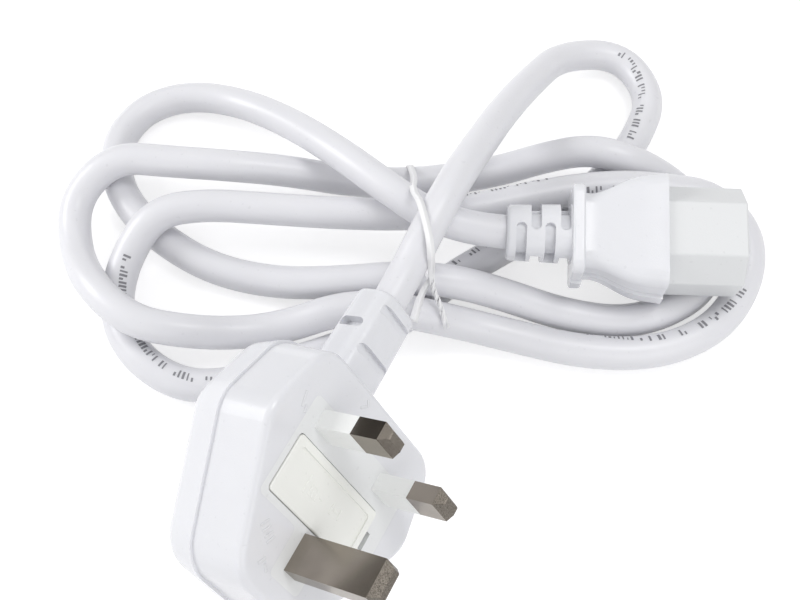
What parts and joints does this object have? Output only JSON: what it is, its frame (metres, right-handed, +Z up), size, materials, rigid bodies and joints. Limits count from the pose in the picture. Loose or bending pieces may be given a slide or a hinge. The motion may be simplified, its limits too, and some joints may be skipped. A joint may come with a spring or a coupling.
{
  "type": "uk three pin plug with appliance lead",
  "caption": "Moulded fused mains plug with three rectangular pins on a coiled lead that ends in an appliance connector",
  "frame": {"origin": "Bottom centre of the plug's own bounding box, on the surface that the plug and its lead lie on", "axes": "+Y is the way the cord leaves the plug, +Z is up, and the pins point along +X and up at 32 degrees"},
  "size_m": [0.1678, 0.1832, 0.0537],
  "materials": {
    "body_plastic": "smooth moulded, light gloss",
    "carrier_plastic": "smooth moulded",
    "cord_jacket": "soft plastic, light gloss",
    "insert_plastic": "fine matt",
    "sleeve_plastic": "smooth",
    "pin_metal": "nickel plated",
    "sheet_metal": "bright",
    "cap_metal": "nickel plated",
    "ceramic": "fired",
    "core_line": "satin",
    "core_neutral": "satin",
    "core_earth": "satin",
    "tie_plastic": "satin"
  },
  "bodies": {
    "plug": {"plug_body": "body_plastic", "pin_carrier": "carrier_plastic", "line_pin": "pin_metal", "neutral_pin": "pin_metal", "earth_pin": "pin_metal", "fuse_clip_line": "sheet_metal", "fuse_clip_load": "sheet_metal", "neutral_crimp": "sheet_metal", "earth_crimp": "sheet_metal", "line_pin_sleeve": "sleeve_plastic", "neutral_pin_sleeve": "sleeve_plastic", "line_core": "core_line", "neutral_core": "core_neutral", "earth_core": "core_earth", "cord": "cord_jacket", "connector_body": "body_plastic", "connector_insert": "insert_plastic", "connector_line_contact": "sheet_metal", "connector_neutral_contact": "sheet_metal", "connector_earth_contact": "sheet_metal", "connector_line_core": "core_line", "connector_neutral_core": "core_neutral", "connector_earth_core": "core_earth", "twist_tie": "tie_plastic"},
    "fuse_drawer": {"fuse_carrier": "carrier_plastic", "fuse_tube": "ceramic", "fuse_cap_line": "cap_metal", "fuse_cap_load": "cap_metal"}
  },
  "joints": [
    {"name": "fuse_carrier_slide", "type": "slide", "parent": "plug", "child": "fuse_drawer", "axis": [0.848, 0, 0.5299], "range_m": [0, 0.018]}
  ]
}
